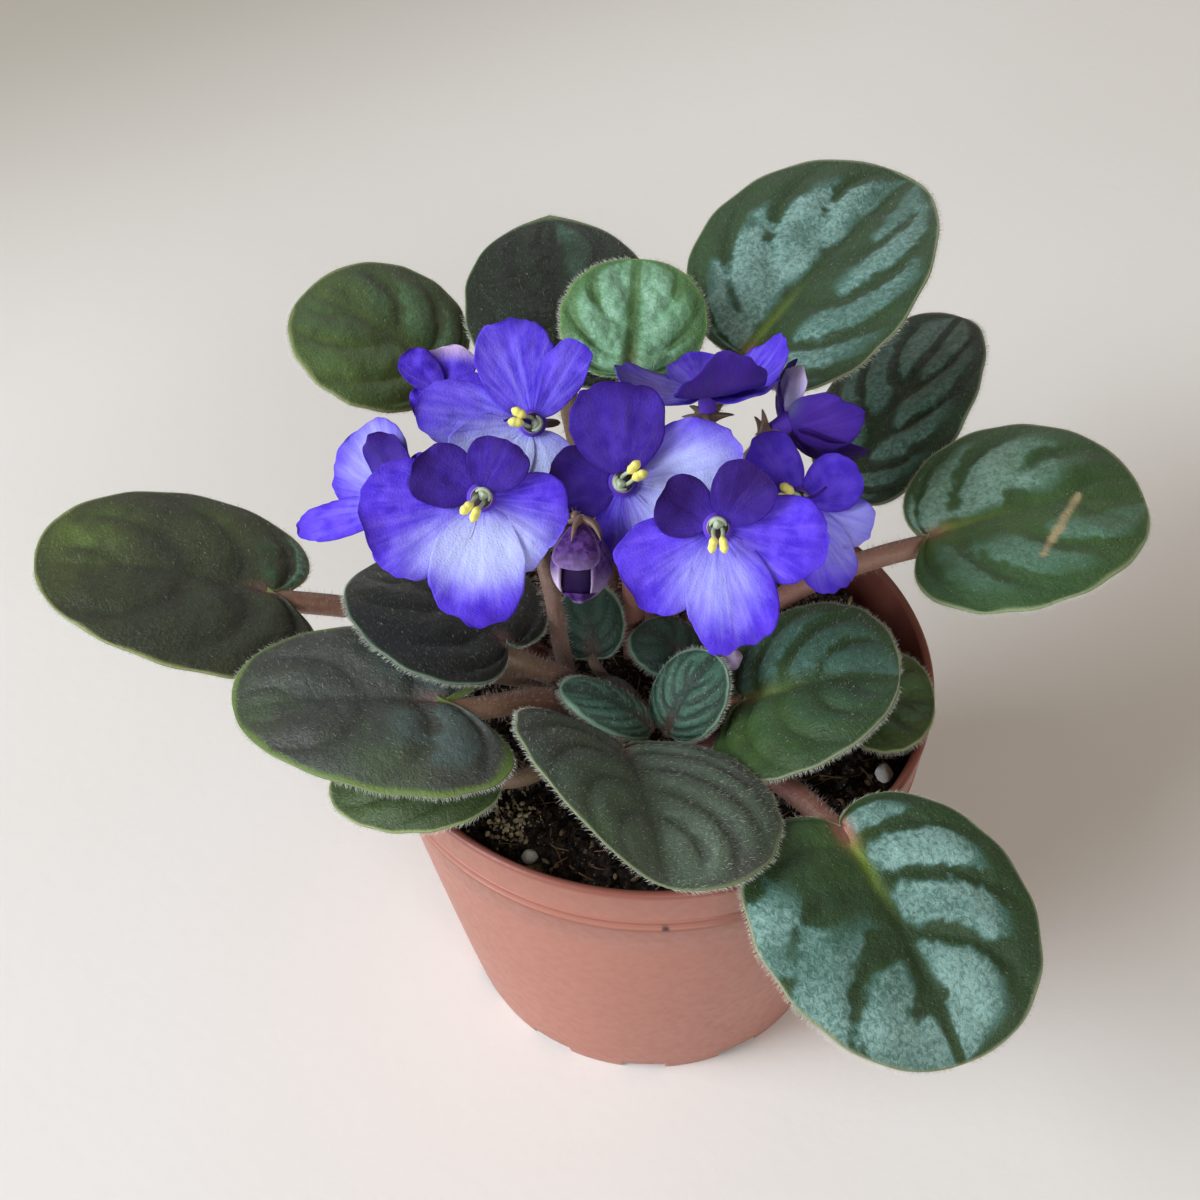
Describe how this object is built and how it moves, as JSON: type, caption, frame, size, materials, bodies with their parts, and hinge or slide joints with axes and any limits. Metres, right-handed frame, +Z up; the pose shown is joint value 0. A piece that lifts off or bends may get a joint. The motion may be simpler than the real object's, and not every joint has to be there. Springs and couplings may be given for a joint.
{
  "type": "potted african violet",
  "caption": "Potted flowering plant: a tapered plastic pot with a foot ring and drain holes, filled with soil, carrying a rosette of round hairy leaves and stalks of violet flowers.",
  "frame": {"origin": "centre of the pot's flat base pad, on the plane it stands on", "axes": "+Z up along the pot's axis, -Y towards the front of the plant, +X to its right"},
  "size_m": [0.1787, 0.1649, 0.1195],
  "materials": {
    "pot_plastic": "satin salmon-coloured moulded plastic",
    "peat": "dark crumbly peat with fibres and bark crumbs",
    "perlite": "rough white grains",
    "leaf": "fleshy green leaf with pale hairs and a silvery sheen",
    "young_leaf": "fleshy grey-green leaf with close pale hairs",
    "petal": "thin violet petal, paler towards the throat, with a fine sparkle",
    "pollen": "bright yellow pollen sacs",
    "stalk": "hairy brownish pink stalk",
    "bud": "dark purple folded petals with brown sepals"
  },
  "bodies": {
    "root": {"pot": "pot_plastic", "leaf_far_left": "leaf", "leaf_left_front": "leaf", "leaf_left_dark": "leaf", "leaf_back_left": "leaf", "leaf_back_dark": "leaf", "leaf_back_round": "leaf", "leaf_back_right": "leaf", "leaf_right_upper": "leaf", "leaf_right": "leaf", "leaf_front_right": "leaf", "leaf_front": "leaf", "leaf_right_inner": "leaf", "leaf_left_low": "leaf", "leaf_left_under": "leaf", "leaf_right_hidden": "leaf", "young_leaf_left": "young_leaf", "young_leaf_right": "young_leaf", "young_leaf_dark": "young_leaf", "young_leaf_round": "young_leaf", "young_leaf_purple": "young_leaf", "flower_front_left": "petal", "anthers_front_left": "pollen", "flower_top_left": "petal", "anthers_top_left": "pollen", "flower_middle": "petal", "anthers_middle": "pollen", "flower_front": "petal", "anthers_front": "pollen", "flower_right": "petal", "anthers_right": "pollen", "flower_far_left": "petal", "anthers_far_left": "pollen", "flower_back": "petal", "anthers_back": "pollen", "flower_back_right": "petal", "anthers_back_right": "pollen", "flower_back_left": "petal", "stalk_left": "stalk", "stalk_middle": "stalk", "stalk_right": "stalk", "bud_nodding": "bud", "bud_small": "bud", "fallen_petal": "petal", "perlite_1": "perlite", "perlite_2": "perlite", "perlite_3": "perlite", "soil": "peat"}
  },
  "joints": []
}
